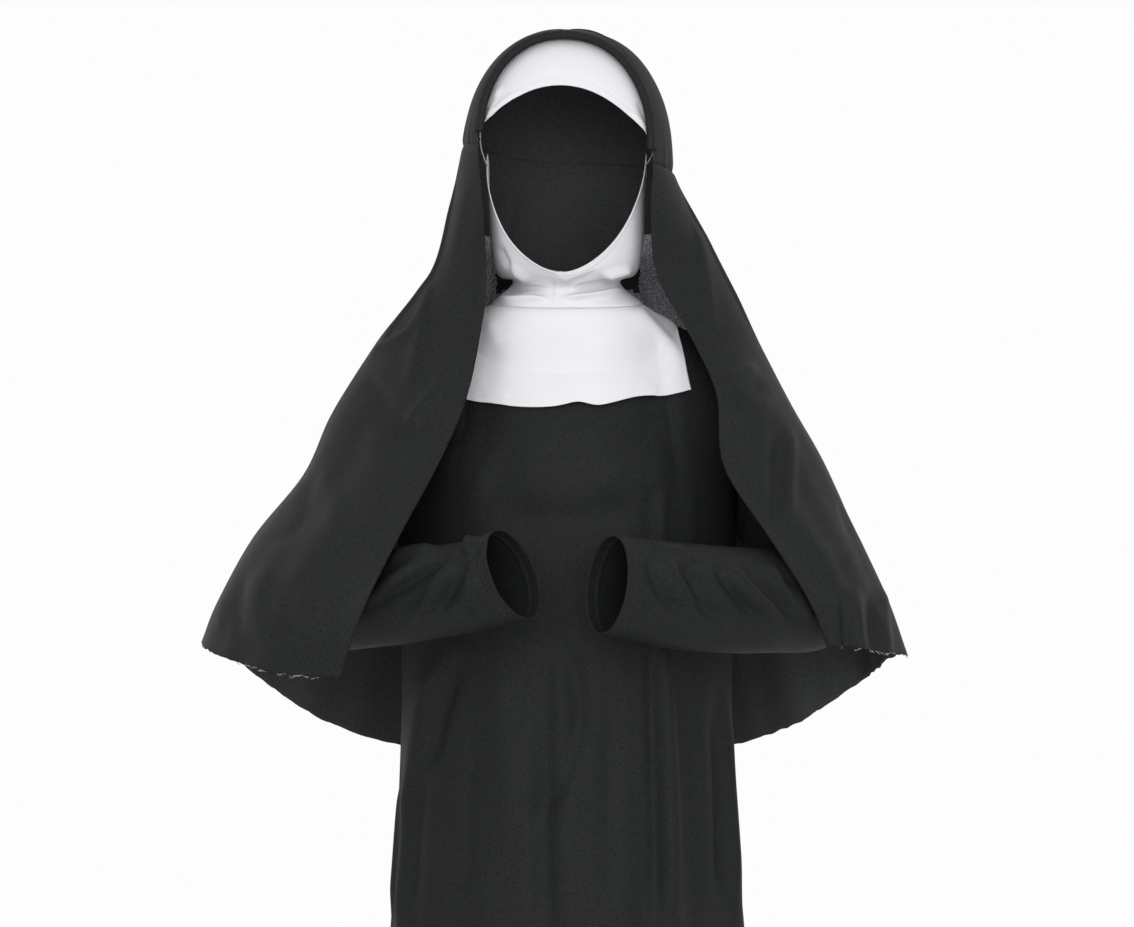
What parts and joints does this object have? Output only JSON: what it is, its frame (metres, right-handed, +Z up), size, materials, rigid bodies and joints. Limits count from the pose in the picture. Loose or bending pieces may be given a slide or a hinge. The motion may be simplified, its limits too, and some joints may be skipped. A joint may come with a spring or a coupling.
{
  "type": "nun costume",
  "caption": "Long A-line habit with straight sleeves, veil, headband and wimple with a bib, in the hollow form of a standing wearer with the arms raised in front.",
  "frame": {"origin": "base of the wearer's neck, in the middle of the shoulder line, where the worn garment is held", "axes": "+Z up, the garment's front faces -Y, +X is the right-hand side seen from the front"},
  "size_m": [0.6785, 0.4428, 1.6102],
  "materials": {
    "black_knit": "brushed black polyester knit with a slight sheen",
    "black_veil_cloth": "lighter black polyester knit, raw at the hem",
    "white_knit": "smooth matt white polyester knit",
    "elastic": "narrow ribbed elastic"
  },
  "bodies": {
    "root": {"habit_front": "black_knit", "habit_back": "black_knit", "sleeve_left": "black_knit", "sleeve_right": "black_knit", "veil_crown": "black_veil_cloth", "veil_fall": "black_veil_cloth", "veil_roll": "black_veil_cloth", "headband": "white_knit", "wimple": "white_knit", "wimple_bib": "white_knit", "elastic_left": "elastic", "elastic_right": "elastic"}
  },
  "joints": []
}
